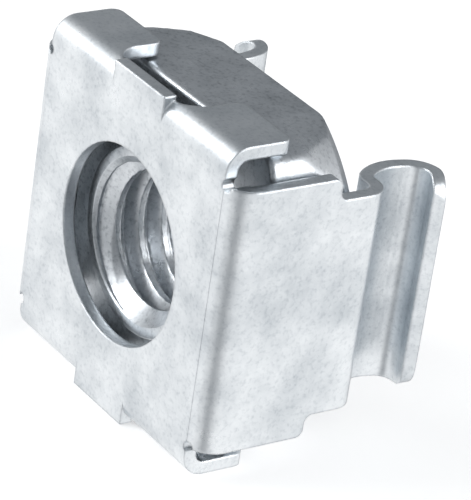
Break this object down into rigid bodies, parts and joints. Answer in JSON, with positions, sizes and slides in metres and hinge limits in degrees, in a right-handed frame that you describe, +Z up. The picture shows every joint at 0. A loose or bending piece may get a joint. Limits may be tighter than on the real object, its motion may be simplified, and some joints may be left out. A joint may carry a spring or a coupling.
{
  "type": "rack cage nut",
  "caption": "Square nut held loosely in a folded spring-steel cage that snaps into the square hole of an equipment rail.",
  "frame": {"origin": "on the screw's axis, in the plane of the two shoulders that bear on the rail", "axes": "+Y along the screw's axis, from the cage's front plate towards its two legs, the way the rail and the screw leave; X across the two legs; +Z up"},
  "size_m": [0.0132, 0.0093, 0.013],
  "materials": {
    "cage": "bright zinc plating on folded spring steel",
    "square_nut": "bright zinc plating on a cold-formed steel nut"
  },
  "bodies": {
    "root": {"cage": "cage", "square_nut": "square_nut"}
  },
  "joints": []
}
